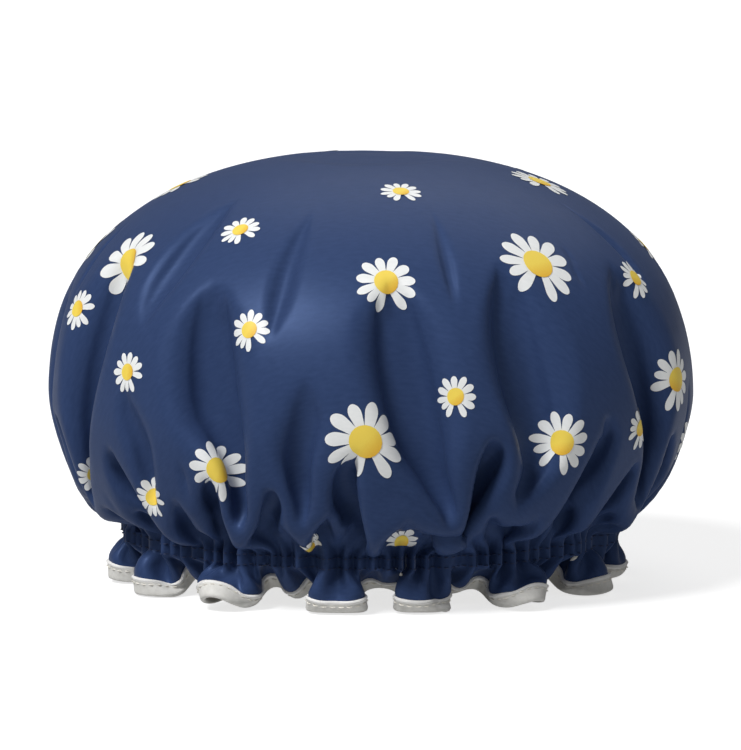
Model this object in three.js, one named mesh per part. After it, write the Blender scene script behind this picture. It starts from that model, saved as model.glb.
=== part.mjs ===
// Gathered shower cap, standing on its hem with the crown puffed up.
// A round cut of printed cloth and a waterproof lining lie on each other. An elastic loop in a
// casing gathers both a little way in from the edge, so the cloth inside the loop puffs into a
// folded crown and the cloth outside it hangs as a frill, edged with a folded binding tape.
// Millimetres, +Z up, origin on the surface under the middle of the hem, front towards -Y.
import * as THREE from "three";

// Driving dimensions
const ELASTIC_RADIUS = 88; // middle of the two cloth layers where the elastic gathers them
const CROWN_RADIUS = 115; // crests between the folds at the widest level
const CROWN_RISE = 84; // widest level to the top of the crown
const BULGE_RISE = 47; // upper casing seam to the widest level
const CASING_WIDTH = 5; // upper casing seam to lower casing seam
const FRILL_DROP = 16; // lower casing seam to the hem edge
const HEM_RADIUS = 84; // mean of the ruffles at the hem
const TOP_RADIUS = 78; // part of the crown that sinks flat when the cap collapses
const CROWN_FULLNESS = 2.38; // exponent of the crown's superellipse: 2 is an ellipse
const TUCK_FULLNESS = 1.7; // exponent of the curve in to the seam: 1 is a cone

const CLOTH = 0.4; // outer cloth
const LINING = 0.3; // waterproof film
const TAPE = 0.4; // binding and casing tape
const ELASTIC = 0.8; // elastic strip's thickness
const ELASTIC_WIDTH = 3.6;
const ELASTIC_LAP = 16; // length over which the strip's two ends lie on each other
const BINDING_WIDTH = 6; // height of the folded tape on each side of the frill
const THREAD = 0.5;
const THREAD_INSET = 1.4; // binding seam below the binding's upper edge
const BINDING_THREAD_LIFT = 0.55; // the tape is springy, so its seam rides a little higher
const CLEARANCE = 0.3; // between neighbouring pieces
const CROWN_CUT = 0.5; // between the sinking top and the side, measured flat

const FOLDS = 12; // large folds of the crown
const STEPS_PER_FOLD = 8;
const FOLD_DEPTH = 10;
const FOLD_WIDTH = THREE.MathUtils.degToRad(8.5); // where a fold is half as deep
const FOLD_WANDER = THREE.MathUtils.degToRad(6); // how far the folds stray from even spacing
const RUFFLES = 16;
const GATHER_DEPTH = 2;
const RUFFLE_DEPTH = 6.5;
const VALLEY_SHARPNESS = 0.25; // share of the second harmonic that narrows the valleys
const SIDE_TO_SIDE = 0.3; // how much the depth varies from one ruffle to the next
const ROUND_STEPS = 48; // facets of the plain round pieces

// Levels above the surface
const LOWER_SEAM = FRILL_DROP;
const UPPER_SEAM = LOWER_SEAM + CASING_WIDTH;
const WIDEST = UPPER_SEAM + BULGE_RISE;

// Distances of the layers' faces from the middle of the two cloth layers, outwards positive
const CLOTH_IN = CLEARANCE / 2;
const CLOTH_OUT = CLOTH_IN + CLOTH;
const LINING_OUT = -CLEARANCE / 2;
const LINING_IN = LINING_OUT - LINING;
const LEAF_OUT = { near: CLOTH_OUT + CLEARANCE, far: CLOTH_OUT + CLEARANCE + TAPE };
const LEAF_IN = { near: LINING_IN - CLEARANCE, far: LINING_IN - CLEARANCE - TAPE };

const columns = FOLDS * STEPS_PER_FOLD;
const FRONT = -Math.PI / 2;

// Columns of the cloth run from the crown through the gathers to the frill. Only even harmonics
// shift and vary them, so the cap stays balanced about its axis.
function evenTurn(column) {
  return (2 * Math.PI * column) / columns;
}

function columnAngle(column) {
  const even = evenTurn(column);
  return FRONT + even + FOLD_WANDER * Math.cos(4 * even);
}

// Share of the fold's depth: 1 in the middle of the nearest fold, near 0 on a crest
function foldHollow(column) {
  const middle = Math.round(column / STEPS_PER_FOLD) * STEPS_PER_FOLD;
  const apart = columnAngle(column) - columnAngle(middle);
  return 1 / Math.cosh((2 * Math.acosh(Math.SQRT2) * apart) / FOLD_WIDTH) ** 2;
}

// Gathers and ruffles
function ruffleWave(column) {
  const even = evenTurn(column);
  const phase = RUFFLES * even;
  const wave = Math.cos(phase) - VALLEY_SHARPNESS * Math.cos(2 * phase);
  return wave * (1 + SIDE_TO_SIDE * Math.sin(4 * even + 0.6));
}

const shallowestGather = Math.max(
  ...Array.from({ length: columns }, (_, column) => -ruffleWave(column)),
);

// Meridian of the crown's upper half, from the top (0) to the widest level (a quarter turn)
function upperMeridian(turn, inset = 0) {
  const power = 2 / CROWN_FULLNESS;
  return {
    radius: (CROWN_RADIUS - inset) * Math.sin(turn) ** power,
    level: WIDEST + (CROWN_RISE - inset) * Math.cos(turn) ** power,
  };
}

function turnAtRadius(radius, inset = 0) {
  return Math.asin((radius / (CROWN_RADIUS - inset)) ** (CROWN_FULLNESS / 2));
}

// Meridian below the widest level, curling in to the upper casing seam
function lowerMeridian(share) {
  return {
    radius: CROWN_RADIUS - (CROWN_RADIUS - ELASTIC_RADIUS) * share ** TUCK_FULLNESS,
    level: WIDEST - BULGE_RISE * share,
  };
}

// The frill draws in a little below the casing while its ruffles deepen
function frillRow(level) {
  const share = THREE.MathUtils.clamp((LOWER_SEAM - level) / LOWER_SEAM, 0, 1);
  return {
    radius: THREE.MathUtils.lerp(ELASTIC_RADIUS, HEM_RADIUS, share),
    level,
    hollow: 0,
    depth: THREE.MathUtils.lerp(GATHER_DEPTH, RUFFLE_DEPTH, Math.sqrt(share)),
    upright: true,
  };
}

// Rows of the folded cloth, from the sinking top's edge down to the hem
const shoulderTurn = (share) => {
  return THREE.MathUtils.lerp(turnAtRadius(TOP_RADIUS), Math.PI / 2, share);
};
const seamGapShare = 1 - CLEARANCE / BULGE_RISE;
const crownRow = (point, share) => ({ ...point, hollow: FOLD_DEPTH * share, depth: 0 });
const foldedEdge = TAPE + CLEARANCE; // cloth edge above the bottom of the binding
const rows = {
  topEdge: crownRow(upperMeridian(turnAtRadius(TOP_RADIUS + CROWN_CUT)), 0),
  shoulder: crownRow(upperMeridian(shoulderTurn(0.33)), 0.25),
  flank: crownRow(upperMeridian(shoulderTurn(0.67)), 0.8),
  widest: crownRow(upperMeridian(Math.PI / 2), 1),
  tuck: crownRow(lowerMeridian(0.6), 0.1),
  aboveSeam: { ...lowerMeridian(seamGapShare), hollow: 0, depth: GATHER_DEPTH },
  belowSeam: frillRow(UPPER_SEAM - CLEARANCE),
  lowerSeam: frillRow(LOWER_SEAM),
  bindingTop: frillRow(BINDING_WIDTH),
  edge: frillRow(foldedEdge),
};
const rowList = Object.values(rows);

function clothPoint(row, column) {
  const radius = row.radius - row.hollow * foldHollow(column) + row.depth * ruffleWave(column);
  const angle = columnAngle(column);
  return new THREE.Vector3(radius * Math.cos(angle), radius * Math.sin(angle), row.level);
}

// Outward direction of the cloth; the gathered band and the frill stand upright
function clothNormal(row, column) {
  const at = rowList.indexOf(row);
  const above = rowList[Math.max(at - 1, 0)];
  const below = rowList[Math.min(at + 1, rowList.length - 1)];
  const down = clothPoint(below, column).sub(clothPoint(above, column));
  const round = clothPoint(row, column + 1).sub(clothPoint(row, column - 1));
  const normal = round.cross(down).negate();
  if (row.upright) normal.z = 0;
  return normal.normalize();
}

function layerPoint(row, column, distance) {
  return clothPoint(row, column).addScaledVector(clothNormal(row, column), distance);
}

// Closed body swept round the cap. Each section is a loop of points that starts on the outer
// face at the top. Quads that run up and quads that run down are split along the same diagonal,
// so that layers with the same rows lie flat on each other.
function sweepSections(sections, joined = true) {
  const count = sections.length;
  const size = sections[0].length;
  const indices = [];
  const spans = joined ? count : count - 1;
  for (let s = 0; s < spans; s++) {
    const next = (s + 1) % count;
    for (let k = 0; k < size; k++) {
      const after = (k + 1) % size;
      const a = s * size + k;
      const b = s * size + after;
      const c = next * size + after;
      const d = next * size + k;
      const runsUp = sections[s][after].z > sections[s][k].z;
      if (runsUp) indices.push(a, b, d, b, c, d);
      else indices.push(a, b, c, a, c, d);
    }
  }
  if (!joined) {
    const last = (count - 1) * size;
    for (let k = 1; k < size - 1; k++) {
      indices.push(0, k + 1, k, last, last + k, last + k + 1);
    }
  }
  const geometry = new THREE.BufferGeometry();
  geometry.setFromPoints(sections.flat());
  geometry.setIndex(indices);
  geometry.computeVertexNormals();
  return geometry;
}

function eachColumn(makeSection) {
  return Array.from({ length: columns }, (_, column) => makeSection(column));
}

function foldedSheet(rowSet, outFace, inFace) {
  const sections = eachColumn((column) => [
    ...rowSet.map((row) => layerPoint(row, column, outFace)),
    ...[...rowSet].reverse().map((row) => layerPoint(row, column, inFace)),
  ]);
  return sweepSections(sections);
}

// Top of the crown: a shallow round dome between two insets of the upper meridian
function domeSheet(radius, outInset, inInset) {
  const steps = 4;
  const face = (inset) =>
    Array.from({ length: steps + 1 }, (_, step) => {
      const point = upperMeridian((turnAtRadius(radius, inset) * step) / steps, inset);
      return new THREE.Vector2(point.radius, point.level);
    });
  const profile = [...face(inInset), ...face(outInset).reverse()];
  return new THREE.LatheGeometry(profile, ROUND_STEPS).rotateX(Math.PI / 2);
}

// Binding tape, folded round the edges of the cloth and the lining
function bindingTape() {
  const { bindingTop, edge } = rows;
  const atLevel = (point, level) => point.setZ(level);
  const sections = eachColumn((column) => [
    layerPoint(bindingTop, column, LEAF_OUT.far),
    atLevel(layerPoint(edge, column, LEAF_OUT.far), 0),
    atLevel(layerPoint(edge, column, LEAF_IN.far), 0),
    layerPoint(bindingTop, column, LEAF_IN.far),
    layerPoint(bindingTop, column, LEAF_IN.near),
    atLevel(layerPoint(edge, column, LEAF_IN.near), TAPE),
    atLevel(layerPoint(edge, column, LEAF_OUT.near), TAPE),
    layerPoint(bindingTop, column, LEAF_OUT.near),
  ]);
  return sweepSections(sections);
}

// Seam thread lying on the gathered cloth along one row
function seamThread(pointAt) {
  const half = THREAD / 2;
  const sections = eachColumn((column) => [
    pointAt(column, -half, half),
    pointAt(column, half, 0),
    pointAt(column, -half, -half),
  ]);
  return sweepSections(sections);
}

function casingThread(row, below = 0) {
  const middle = CLOTH_OUT + CLEARANCE + THREAD / 2;
  return seamThread((column, out, up) => {
    const point = layerPoint(row, column, middle + out);
    return point.setZ(point.z + up - below);
  });
}

function bindingThread() {
  const middle = LEAF_OUT.far + BINDING_THREAD_LIFT + THREAD / 2;
  const share = THREAD_INSET / (BINDING_WIDTH - foldedEdge);
  return seamThread((column, out, up) => {
    const high = layerPoint(rows.bindingTop, column, middle + out);
    const low = layerPoint(rows.edge, column, middle + out);
    const point = high.lerp(low, share);
    return point.setZ(point.z + up);
  });
}

// Elastic strip: one turn inside the gathers, its end passing inside its start
const elasticOut = ELASTIC_RADIUS - GATHER_DEPTH * shallowestGather + LINING_IN - CLEARANCE;
const elasticMiddle = (LOWER_SEAM + UPPER_SEAM) / 2;

function elasticStrip() {
  const turns = 2 * Math.PI + ELASTIC_LAP / elasticOut;
  const stepIn = ELASTIC + CLEARANCE;
  const rampStart = 2 * Math.PI - ELASTIC_LAP / elasticOut;
  const sections = Array.from({ length: ROUND_STEPS + 6 }, (_, step) => {
    const angle = (turns * step) / (ROUND_STEPS + 5);
    const ramp = THREE.MathUtils.smoothstep(angle, rampStart, 2 * Math.PI - 0.02);
    const out = elasticOut - stepIn * ramp;
    const corner = (radius, level) =>
      new THREE.Vector3(radius * Math.cos(angle), radius * Math.sin(angle), level);
    const top = elasticMiddle + ELASTIC_WIDTH / 2;
    const bottom = elasticMiddle - ELASTIC_WIDTH / 2;
    return [
      corner(out, top),
      corner(out, bottom),
      corner(out - ELASTIC, bottom),
      corner(out - ELASTIC, top),
    ];
  });
  return sweepSections(sections, false);
}

// Casing tape: covers the elastic on the inside, its two edges turned out to the lining
function casingTape() {
  const wallOut = elasticOut - 2 * ELASTIC - 2 * CLEARANCE;
  const wallIn = wallOut - TAPE;
  const profile = [
    [wallIn, LOWER_SEAM],
    [elasticOut, LOWER_SEAM],
    [elasticOut, LOWER_SEAM + TAPE],
    [wallOut, LOWER_SEAM + TAPE],
    [wallOut, UPPER_SEAM - TAPE],
    [elasticOut, UPPER_SEAM - TAPE],
    [elasticOut, UPPER_SEAM],
    [wallIn, UPPER_SEAM],
    [wallIn, LOWER_SEAM],
  ].map(([radius, level]) => new THREE.Vector2(radius, level));
  return new THREE.LatheGeometry(profile, ROUND_STEPS).rotateX(Math.PI / 2);
}

// Materials
const printedCloth = new THREE.MeshStandardMaterial({ color: 0x22315c, roughness: 0.55, metalness: 0 });
const film = new THREE.MeshStandardMaterial({ color: 0xe9e6de, roughness: 0.4, metalness: 0 });
const creamTape = new THREE.MeshStandardMaterial({ color: 0xddd8cb, roughness: 0.8, metalness: 0 });
const whiteElastic = new THREE.MeshStandardMaterial({ color: 0xf1f0ec, roughness: 0.9, metalness: 0 });
const navyThread = new THREE.MeshStandardMaterial({ color: 0x1b2748, roughness: 0.6, metalness: 0 });
const creamThread = new THREE.MeshStandardMaterial({ color: 0xf2eee4, roughness: 0.6, metalness: 0 });

// Assembly
const sideRows = [rows.topEdge, rows.shoulder, rows.flank, rows.widest, rows.tuck, rows.aboveSeam];
const frillRows = [rows.belowSeam, rows.lowerSeam, rows.bindingTop, rows.edge];

const cap = new THREE.Group();

function addPiece(group, name, geometry, material) {
  const mesh = new THREE.Mesh(geometry, material);
  mesh.name = name;
  group.add(mesh);
}

const crown = new THREE.Group(); // sinks towards the hem when the cap collapses
addPiece(crown, "crown_top", domeSheet(TOP_RADIUS, -CLOTH_OUT, -CLOTH_IN), printedCloth);
addPiece(crown, "lining_top", domeSheet(TOP_RADIUS, -LINING_OUT, -LINING_IN), film);
cap.add(crown);

const hem = new THREE.Group();
addPiece(hem, "crown_side", foldedSheet(sideRows, CLOTH_OUT, CLOTH_IN), printedCloth);
addPiece(hem, "frill", foldedSheet(frillRows, CLOTH_OUT, CLOTH_IN), printedCloth);
addPiece(hem, "lining_side", foldedSheet(sideRows, LINING_OUT, LINING_IN), film);
addPiece(hem, "lining_frill", foldedSheet(frillRows, LINING_OUT, LINING_IN), film);
addPiece(hem, "hem_binding", bindingTape(), creamTape);
addPiece(hem, "elastic_band", elasticStrip(), whiteElastic);
addPiece(hem, "elastic_casing", casingTape(), creamTape);
addPiece(hem, "casing_thread_upper", casingThread(rows.belowSeam, 2 * THREAD), navyThread);
addPiece(hem, "casing_thread_lower", casingThread(rows.lowerSeam), navyThread);
addPiece(hem, "binding_thread", bindingThread(), creamThread);
cap.add(hem);

export default cap;
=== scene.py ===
import math
import bpy
import numpy as np
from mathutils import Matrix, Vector


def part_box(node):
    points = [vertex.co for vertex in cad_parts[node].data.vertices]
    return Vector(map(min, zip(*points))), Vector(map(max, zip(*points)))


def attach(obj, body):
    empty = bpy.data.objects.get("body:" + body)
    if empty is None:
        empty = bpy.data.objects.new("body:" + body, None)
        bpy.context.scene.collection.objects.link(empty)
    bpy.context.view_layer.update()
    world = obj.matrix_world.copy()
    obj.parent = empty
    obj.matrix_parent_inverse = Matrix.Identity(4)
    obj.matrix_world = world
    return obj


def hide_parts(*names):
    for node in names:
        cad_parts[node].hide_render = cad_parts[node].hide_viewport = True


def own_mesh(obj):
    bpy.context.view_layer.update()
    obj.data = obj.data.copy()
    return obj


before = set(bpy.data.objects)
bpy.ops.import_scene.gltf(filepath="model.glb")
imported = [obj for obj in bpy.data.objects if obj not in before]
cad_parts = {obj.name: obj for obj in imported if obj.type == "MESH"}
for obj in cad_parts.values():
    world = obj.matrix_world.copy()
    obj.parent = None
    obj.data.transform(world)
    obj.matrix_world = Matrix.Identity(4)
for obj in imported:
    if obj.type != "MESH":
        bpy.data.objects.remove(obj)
scene = bpy.context.scene
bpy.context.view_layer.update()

# Levels and radii taken from the solids, in metres
SEAM_LOW, SEAM_HIGH = (corner.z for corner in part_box("elastic_casing"))
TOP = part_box("crown_top")[1].z
ELASTIC_LOW, ELASTIC_HIGH = (corner.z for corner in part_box("elastic_band"))
ELASTIC_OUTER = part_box("elastic_band")[1].x
BINDING_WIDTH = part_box("hem_binding")[1].z

# Form of the puffed crown
THREAD_PROUD = 0.0037
GATHER_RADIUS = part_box("casing_thread_upper")[1].x - THREAD_PROUD
CROWN_RADIUS = 0.1115
WIDEST = 0.068
DOME_RISE = TOP - WIDEST - 0.0008
FULLNESS = 2.28
BULGE_RADIUS = 0.0920
BULGE_LEVEL = 0.0184
TUCK = 2.35  # how late the side turns in below its widest level
REACH_TUCK = 1.6  # the same for the outer limit
REACH_LOW = 0.0960
REACH_LEVEL = 0.017
INNER_RADIUS = 0.102
OUTER_RADIUS = 0.1155
FRILL_LENGTH = 0.0172
HEM_LIFT = 0.0012

# Net of the simulated cloth
DOME_POINTS, SIDE_POINTS = 400, 160
COLUMNS = 384
POLE = 0.024
CROWN_STEPS = 54
CASING_STEPS = 2
FRILL_STEPS = 7
STEPS, DRIVE_EVERY, PAIRS_EVERY = 300, 5, 15
SEED = 11
FRONT = -math.pi / 2
TURN = 2 * math.pi

# Gathers in the casing
GATHERS = 96
GATHER_DEPTH = 0.0034

# Main folds, spaced as on the solid: cut radius where each starts, depth, lean in degrees
FOLDS = (
    (0.110, 1.0, 2), (0.052, 1.9, -3), (0.100, 1.1, 2), (0.110, 1.0, -2), (0.098, 1.1, 2),
    (0.100, 1.1, -2), (0.105, 1.0, 2), (0.098, 1.1, -2), (0.100, 1.1, 2), (0.110, 1.0, -2),
    (0.098, 1.1, 2), (0.095, 1.2, 2),
)
FOLD_DEPTH = 0.0125
FOLD_WANDER = 6.0
FOLD_FULL = 0.185
FOLD_END = 0.010
FOLD_WIDTH, FOLD_WIDENING = 0.0042, 0.0015

# Lesser folds that rise from the gathers: degrees right of the front, start, depth, lean
LOW_FOLDS = (
    (-78, 0.155, 0.7, 3), (-48, 0.165, 0.6, -2), (-17, 0.150, 0.9, 5), (-5, 0.165, 0.6, 0),
    (17, 0.160, 0.6, -2), (42, 0.155, 0.7, 2), (71, 0.145, 0.8, -2), (81, 0.155, 0.7, 2),
    (132, 0.155, 0.7, 3), (166, 0.150, 0.7, 3), (222, 0.155, 0.7, 3), (256, 0.150, 0.8, -3),
)

# Ruffles of the frill: degrees right of the front, how far the hem swings out there, size
RUFFLES = (
    (-62, 0.55, 0.9), (-35, 1.0, 1.15), (-7, 0.05, 1.0), (12, 0.0, 0.8), (36, 0.95, 1.1),
    (63, 0.6, 1.0), (89, 0.2, 0.9), (112, 0.8, 1.1), (138, 0.1, 0.9), (160, 0.5, 0.8),
    (186, 0.9, 1.1), (209, 0.0, 0.9), (233, 0.7, 1.0), (256, 0.2, 0.9), (277, 0.85, 1.0),
)
RUFFLE_DEPTH = 0.0105
RUFFLE_TILT = 1.1
RUFFLE_OUT = 0.65
RUFFLE_SWING = 0.0036
FRILL_DRAW = 0.0125
CRIMP_FADE = 0.65

# Forces on the cloth at each step, in metres, and how it gives way
INFLATION = 4.0e-6
CROWN_WEIGHT, FRILL_WEIGHT = 3.8e-6, 1.0e-6
SPEED_KEPT, SPEED_LIMIT = 0.92, 0.0015
HANG_LEVEL, HANG_PULL = 0.030, 0.0025
FRILL_HOLD = 0.015
FORM_GIVE = 0.35
TOUCH, TOUCH_PUSH = 0.0018, 0.3


def new_object(name, data):
    """An object with that data, in the scene."""
    made = bpy.data.objects.new(name, data)
    scene.collection.objects.link(made)
    return made


def direction(side, height):
    """Towards what lies that many degrees right of the front and above level."""
    turn, rise = math.radians(side), math.radians(height)
    flat = math.cos(rise)
    return Vector((math.sin(turn) * flat, -math.cos(turn) * flat, math.sin(rise)))


def polar(radius, angle, level):
    """Points at that radius, angle and level."""
    spot = np.broadcast_arrays(radius * np.cos(angle), radius * np.sin(angle), level)
    return np.stack(spot, axis=-1)


def flat_polar(radius, angle):
    """Places on a flat cut at that radius and angle."""
    return polar(radius, angle, 0)[..., :2]


def unit(vectors):
    """The vectors at length 1."""
    return vectors / np.linalg.norm(vectors, axis=-1, keepdims=True)


def softened(values, axis, step=1):
    """Values round a closed line, averaged with those that many places to either side."""
    return (np.roll(values, step, axis) + 2 * values + np.roll(values, -step, axis)) / 4


def crown_meridian():
    """Radius, level and length along the crown, from its top to the upper seam."""
    turn = np.linspace(0, np.pi / 2, DOME_POINTS)
    fall = np.linspace(0, 1, SIDE_POINTS)[1:]
    radius = np.concatenate([
        CROWN_RADIUS * np.sin(turn) ** (2 / FULLNESS),
        BULGE_RADIUS + (CROWN_RADIUS - BULGE_RADIUS) * (1 - fall**TUCK),
        BULGE_RADIUS - (BULGE_RADIUS - GATHER_RADIUS) * np.sin(fall * np.pi / 2),
    ])
    level = np.concatenate([
        WIDEST + DOME_RISE * np.cos(turn) ** (2 / FULLNESS),
        WIDEST - (WIDEST - BULGE_LEVEL) * fall,
        BULGE_LEVEL + (SEAM_HIGH - BULGE_LEVEL) * (1 - np.cos(fall * np.pi / 2)),
    ])
    length = np.concatenate([[0], np.cumsum(np.hypot(np.diff(radius), np.diff(level)))])
    return radius, level, length


line_radius, line_level, line_length = crown_meridian()

# Cut radii of the rings: the crown, the casing and the frill
CUT_SEAM_HIGH = line_length[-1]
CUT_SEAM_LOW = CUT_SEAM_HIGH + SEAM_HIGH - SEAM_LOW
CUT_HEM = CUT_SEAM_LOW + FRILL_LENGTH
cut = np.concatenate([
    np.linspace(POLE, CUT_SEAM_HIGH, CROWN_STEPS + 1),
    np.linspace(CUT_SEAM_HIGH, CUT_SEAM_LOW, CASING_STEPS + 1)[1:],
    np.linspace(CUT_SEAM_LOW, CUT_HEM, FRILL_STEPS + 1)[1:],
])
RINGS = len(cut)
HIGH_RING = CROWN_STEPS
LOW_RING = CROWN_STEPS + CASING_STEPS
azimuth = TURN * np.arange(COLUMNS) / COLUMNS
on_crown = cut <= CUT_SEAM_HIGH
mean_radius = np.where(on_crown, np.interp(cut, line_length, line_radius), GATHER_RADIUS)
mean_level = np.where(
    on_crown,
    np.interp(cut, line_length, line_level),
    SEAM_HIGH * (CUT_HEM - cut) / (CUT_HEM - CUT_SEAM_HIGH),
)
mean_level = np.maximum(mean_level, HEM_LIFT)


def cloth_share(at):
    """Share of the cut's circumference that the net follows; the rest is in finer gathers."""
    marks = (0, 0.08, 0.12, 0.15, 0.19, CUT_SEAM_HIGH, CUT_SEAM_LOW, CUT_HEM)
    return np.interp(at, marks, (1, 0.99, 0.93, 0.87, 0.77, 0.72, 0.76, 0.88))


hoop = cloth_share(cut) * TURN * cut / COLUMNS


def fold_degrees(number):
    """Where a main fold stands, in degrees right of the front."""
    even = 360 / len(FOLDS) * number
    return even + FOLD_WANDER * math.cos(math.radians(4 * even))


def fold_relief():
    """How far the starting shape stands off the mean form, for every point of the net."""
    relief = np.zeros((RINGS, COLUMNS))
    main = [(fold_degrees(number), *fold) for number, fold in enumerate(FOLDS)]
    for degrees, start, depth, lean in main + list(LOW_FOLDS):
        ramp = np.clip((cut - start) / (FOLD_FULL - start), 0, 1) ** 1.3
        ramp *= np.clip((CUT_SEAM_HIGH - 0.001 - cut) / FOLD_END, 0, 1)
        middle = FRONT + np.radians(degrees + lean * np.clip((cut - 0.12) / 0.1, -0.3, 1))
        apart = np.angle(np.exp(1j * (azimuth - middle[:, None]))) * mean_radius[:, None]
        width = FOLD_WIDTH + FOLD_WIDENING * np.clip((0.16 - cut) / 0.06, 0, 1)[:, None]
        relief -= depth * FOLD_DEPTH * ramp[:, None] / np.cosh(apart / width) ** 1.2
    return relief + pleat_noise()


def pleat_noise():
    """Irregular pleats that grow finer towards the upper seam."""
    random = np.random.default_rng(SEED)
    waves = np.arange(10, 110)
    phase = random.uniform(0, TURN, len(waves))
    strength = random.normal(0, 1, len(waves))
    marks = (0.04, 0.15, 0.18, CUT_SEAM_HIGH - 0.008, CUT_SEAM_HIGH)
    centre = np.interp(cut, marks, (14, 18, 28, 46, GATHERS))
    fullness = np.maximum(cloth_share(cut) * cut / mean_radius - 1, 0.0001)
    size = np.minimum(1.2 * mean_radius / centre * np.sqrt(fullness), 0.004)
    noise = np.zeros((RINGS, COLUMNS))
    for ring in range(HIGH_RING):
        weight = np.exp(-0.5 * (np.log(waves / centre[ring]) / 0.25) ** 2) * strength
        wave = weight @ np.cos(np.outer(waves, azimuth) + phase[:, None])
        wave /= np.sqrt((wave**2).mean())
        growth = np.clip((cut[ring] - 0.15) / 0.05, 0, 1)
        noise[ring] = (growth * size[ring] + 0.0004 * (cut[ring] > 0.06)) * wave
    return noise


def crimp(angle):
    """The small even gathers that the elastic draws, from -1 to 1."""
    uneven = 0.020 * np.sin(9 * angle + 1) + 0.016 * np.sin(14 * angle + 2.2)
    uneven += 0.011 * np.sin(23 * angle + 0.4)
    return np.cos(GATHERS * (angle + uneven)) * (0.7 + 0.3 * np.sin(17 * angle + 0.3))


def ruffle_waves():
    """Wave, sideways swing, size and lift of the frill's ruffles round the hem."""
    order = sorted(((FRONT + math.radians(a)) % TURN, lift, size) for a, lift, size in RUFFLES)
    angle, lift, size = np.pad(np.array(order).T, ((0, 0), (1, 1)), mode="wrap")
    angle[0] -= TURN
    angle[-1] += TURN
    before = np.clip(np.searchsorted(angle, azimuth, side="right") - 1, 0, len(angle) - 2)
    along = (azimuth - angle[before]) / (angle[before + 1] - angle[before])
    nearest = np.where(along < 0.5, before, before + 1)
    return np.cos(TURN * along), -np.sin(2 * TURN * along), size[nearest], lift[nearest]


def starting_shape():
    """The net before it settles: the folded crown, the gathered casing, the ruffled frill."""
    radius = mean_radius[:, None] + fold_relief()
    angle = np.tile(azimuth, (RINGS, 1))
    level = np.tile(mean_level[:, None], (1, COLUMNS))
    gathers = GATHER_DEPTH * crimp(azimuth)
    radius[HIGH_RING : LOW_RING + 1] = GATHER_RADIUS + gathers
    wave, swing, size, lift = ruffle_waves()
    rise = lift * np.maximum(wave, 0)
    for ring in range(LOW_RING + 1, RINGS):
        down = (cut[ring] - CUT_SEAM_LOW) / FRILL_LENGTH
        radius[ring] = GATHER_RADIUS + gathers * (1 - CRIMP_FADE * down) - FRILL_DRAW * down
        radius[ring] += down**0.8 * RUFFLE_DEPTH * size * wave
        tilt = RUFFLE_TILT * rise
        radius[ring] += RUFFLE_OUT * down * FRILL_LENGTH * np.sin(tilt)
        angle[ring] -= down * RUFFLE_SWING * swing / GATHER_RADIUS
        level[ring] += down * FRILL_LENGTH * (1 - np.cos(tilt))
    return polar(radius, angle, level)


ring_of = np.repeat(np.arange(RINGS), COLUMNS)
column_of = np.tile(np.arange(COLUMNS), RINGS)
free = np.ones((RINGS, COLUMNS))
free[0] = 0
free[HIGH_RING : LOW_RING + 1] = 0
free = free.ravel()


def thread_family(rings, columns, pull, push, slack_low):
    """Threads from each point to the one so many rings and columns on, in two sets that share
    no point. pull and push say how firmly a long or a short thread is put right."""
    colour = (ring_of // rings if rings else column_of // columns) % 2
    sets = []
    for side in (0, 1):
        first = np.flatnonzero((colour == side) & (ring_of + rings < RINGS))
        ring = ring_of[first]
        second = (ring + rings) * COLUMNS + (column_of[first] + columns) % COLUMNS
        across = (hoop[ring] + hoop[ring + rings]) / 2 * abs(columns)
        rest = np.hypot(cut[ring + rings] - cut[ring], across)
        both = free[first] + free[second]
        used = both > 0
        first, second, both = first[used], second[used], both[used]
        firm = push * np.interp(cut[ring[used]], (0.14, 0.175), (1, slack_low))
        shares = (free[first] / both)[:, None], (free[second] / both)[:, None]
        sets.append((first, second, *shares, rest[used], pull, firm))
    return sets


# Kinds of thread: rings and columns spanned, pull, push, share of the push that is left low down
THREAD_KINDS = (
    (0, 2, 0, 0.22, 1), (2, 0, 0, 0.22, 1), (0, 4, 0, 0.12, 0.35), (0, 8, 0, 0.06, 0),
    (4, 0, 0, 0.10, 1), (1, 1, 0.35, 0.35, 1), (1, -1, 0.35, 0.35, 1), (0, 1, 1, 0.6, 1),
    (1, 0, 1, 0.8, 1),
)
THREADS = [thread_set for kind in THREAD_KINDS for thread_set in thread_family(*kind)]


def keep_threads(points):
    """Moves the ends of every thread towards its own length."""
    for first, second, share_first, share_second, rest, pull, push in THREADS:
        start = points[first]
        along = points[second] - start
        length = np.sqrt((along * along).sum(1))
        excess = (length - rest) / length
        excess *= np.where(excess > 0, pull, push)
        along *= excess[:, None]
        points[first] = start + share_first * along
        points[second] -= share_second * along


crown_points = ring_of < HIGH_RING
frill_points = ring_of > LOW_RING
side_line = slice(DOME_POINTS - 1, DOME_POINTS + SIDE_POINTS - 1)
side_level = line_level[side_line][::-1]
side_inner = line_radius[side_line][::-1] - (CROWN_RADIUS - INNER_RADIUS)


def dome_share(radius, height, wide, tall):
    """1 on a dome of that half-width and height, less inside it."""
    return ((radius / wide) ** FULLNESS + (height / tall) ** FULLNESS) ** (1 / FULLNESS)


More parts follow.
